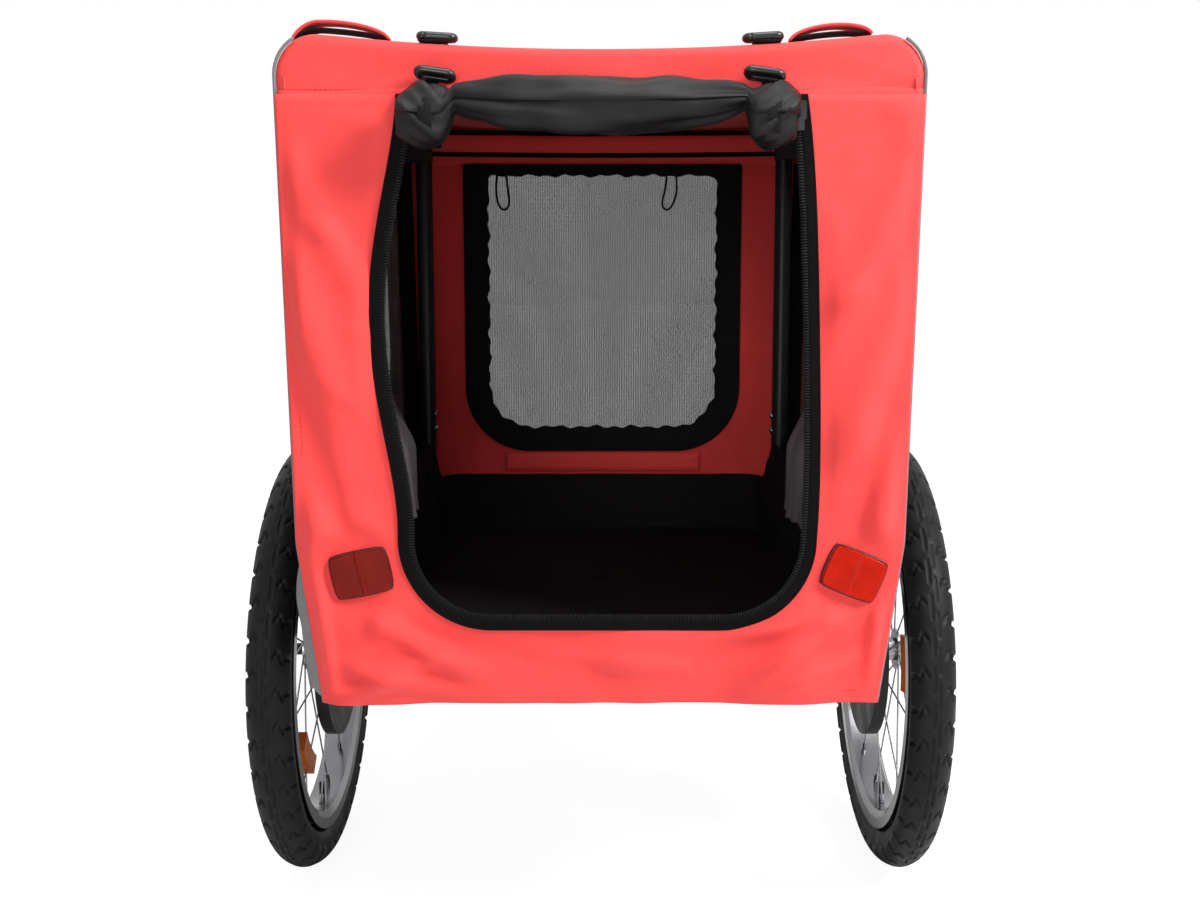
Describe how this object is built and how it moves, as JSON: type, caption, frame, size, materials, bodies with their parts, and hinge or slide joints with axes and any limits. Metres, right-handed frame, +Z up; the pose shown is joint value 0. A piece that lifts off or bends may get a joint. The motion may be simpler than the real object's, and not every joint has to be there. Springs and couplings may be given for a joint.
{
  "type": "dog bike trailer",
  "caption": "Fabric dog trailer for a bicycle: open rear door, spoked side wheels, folding frame and a fold-under tow bar with hitch.",
  "frame": {"origin": "on the ground under the middle of the bounding box", "axes": "+X right seen from behind, +Y forward along the tow bar, +Z up"},
  "size_m": [0.7336, 1.3142, 0.9239],
  "materials": {
    "red_fabric": "woven polyester",
    "black_fabric": "woven polyester",
    "grey_fabric": "woven polyester",
    "mesh": "net",
    "black_plastic": "moulded",
    "steel_black": "powder coat",
    "tyre": "moulded tread",
    "rubber": "matt",
    "rim": "polished",
    "steel": "plated",
    "chrome": "polished",
    "amber": "reflector",
    "red_lens": "reflector",
    "board": "board"
  },
  "bodies": {
    "chassis": {"axle_bushes": "steel", "axle_plate_bolts": "chrome", "cross_tubes": "steel_black", "door_zip": "black_fabric", "floor_board": "board", "floor_frame": "steel_black", "floor_tub": "black_fabric", "front_panel": "red_fabric", "front_window": "mesh", "front_window_border": "black_fabric", "hinge_brackets": "steel_black", "left_axle": "steel", "left_axle_plate": "black_plastic", "left_side_panel": "grey_fabric", "pivot_bolts": "steel", "rear_panel": "red_fabric", "rear_reflectors": "red_lens", "right_axle": "steel", "right_axle_plate": "black_plastic", "right_side_panel": "grey_fabric", "roof_panel": "red_fabric", "side_windows": "mesh", "tow_clevis": "steel_black", "window_ties": "black_fabric"},
    "left_wheel": {"left_tyre": "tyre", "left_inner_tube": "rubber", "left_rim": "rim", "left_spokes": "steel", "left_hub": "steel", "left_bearings": "steel", "left_spoke_reflector": "amber", "left_valve": "rubber"},
    "left_button": {"left_axle_button": "black_plastic"},
    "left_side_posts": {"left_posts": "steel_black", "left_post_caps": "black_plastic"},
    "right_wheel": {"right_tyre": "tyre", "right_inner_tube": "rubber", "right_rim": "rim", "right_spokes": "steel", "right_hub": "steel", "right_bearings": "steel", "right_spoke_reflector": "amber", "right_valve": "rubber"},
    "right_button": {"right_axle_button": "black_plastic"},
    "right_side_posts": {"right_posts": "steel_black", "right_post_caps": "black_plastic"},
    "roof_frame": {"roof_rails": "steel_black", "roof_bars": "steel_black", "roof_fittings": "black_plastic", "strap_buckles": "black_plastic", "zip_sliders": "chrome", "door_roll": "black_fabric", "roll_straps": "black_fabric", "roof_loops": "red_fabric"},
    "tow_arm": {"tow_bar": "steel_black", "hitch_flex": "rubber"},
    "knob": {"tow_knob": "black_plastic"},
    "fork": {"hitch_fork": "steel"},
    "hitch": {"hitch_plate": "steel"},
    "lock_pin": {"hitch_pin": "chrome"}
  },
  "joints": [
    {"name": "left_wheel_spin", "type": "hinge", "parent": "chassis", "child": "left_wheel", "pos_m": [-0.341, -0.2699, 0.25], "axis": [1, 0, 0], "continuous": true},
    {"name": "left_button_press", "type": "slide", "parent": "chassis", "child": "left_button", "axis": [1, 0, 0], "range_m": [0, 0.004], "stiffness_N_per_m": 800},
    {"name": "right_wheel_spin", "type": "hinge", "parent": "chassis", "child": "right_wheel", "pos_m": [0.341, -0.2699, 0.25], "axis": [1, 0, 0], "continuous": true},
    {"name": "right_button_press", "type": "slide", "parent": "chassis", "child": "right_button", "axis": [-1, 0, 0], "range_m": [0, 0.004], "stiffness_N_per_m": 800},
    {"name": "frame_fold", "type": "hinge", "parent": "chassis", "child": "left_side_posts", "pos_m": [-0.242, -0.2699, 0.355], "axis": [0, 1, 0], "range_deg": [0, 90], "deforming": ["roof_panel", "left_side_panel", "right_side_panel", "side_windows", "front_panel", "front_window", "front_window_border", "rear_panel", "door_zip", "floor_tub", "window_ties"]},
    {"name": "right_posts_fold", "type": "hinge", "parent": "chassis", "child": "right_side_posts", "pos_m": [0.242, -0.2699, 0.355], "axis": [0, -1, 0], "range_deg": [0, 90.01]},
    {"name": "roof_frame_drop", "type": "slide", "parent": "chassis", "child": "roof_frame", "axis": [0, 0, -1], "range_m": [0, 0.5561]},
    {"name": "tow_bar_fold", "type": "hinge", "parent": "chassis", "child": "tow_arm", "pos_m": [-0.2, 0.0171, 0.262], "axis": [-1, 0, 0], "range_deg": [0, 180]},
    {"name": "tow_knob_turn", "type": "hinge", "parent": "chassis", "child": "knob", "pos_m": [-0.2, 0.0171, 0.262], "axis": [1, 0, 0], "range_deg": [0, 360]},
    {"name": "hitch_swivel", "type": "hinge", "parent": "tow_arm", "child": "fork", "pos_m": [-0.095, 0.5401, 0.262], "axis": [0, 0, 1], "range_deg": [-30, 30], "stiffness_Nm_per_rad": 6, "deforming": ["hitch_flex"]},
    {"name": "hitch_pitch", "type": "hinge", "parent": "fork", "child": "hitch", "pos_m": [-0.095, 0.5971, 0.262], "axis": [1, 0, 0], "range_deg": [-80, 80]},
    {"name": "hitch_pin_pull", "type": "slide", "parent": "fork", "child": "lock_pin", "axis": [1, 0, 0], "range_m": [0, 0.04]}
  ],
  "couplings": [
    {"joint": "right_posts_fold", "follows": "frame_fold", "ratio": 1},
    {"joint": "roof_frame_drop", "follows": "frame_fold", "m_per_rad": 0.35396}
  ]
}
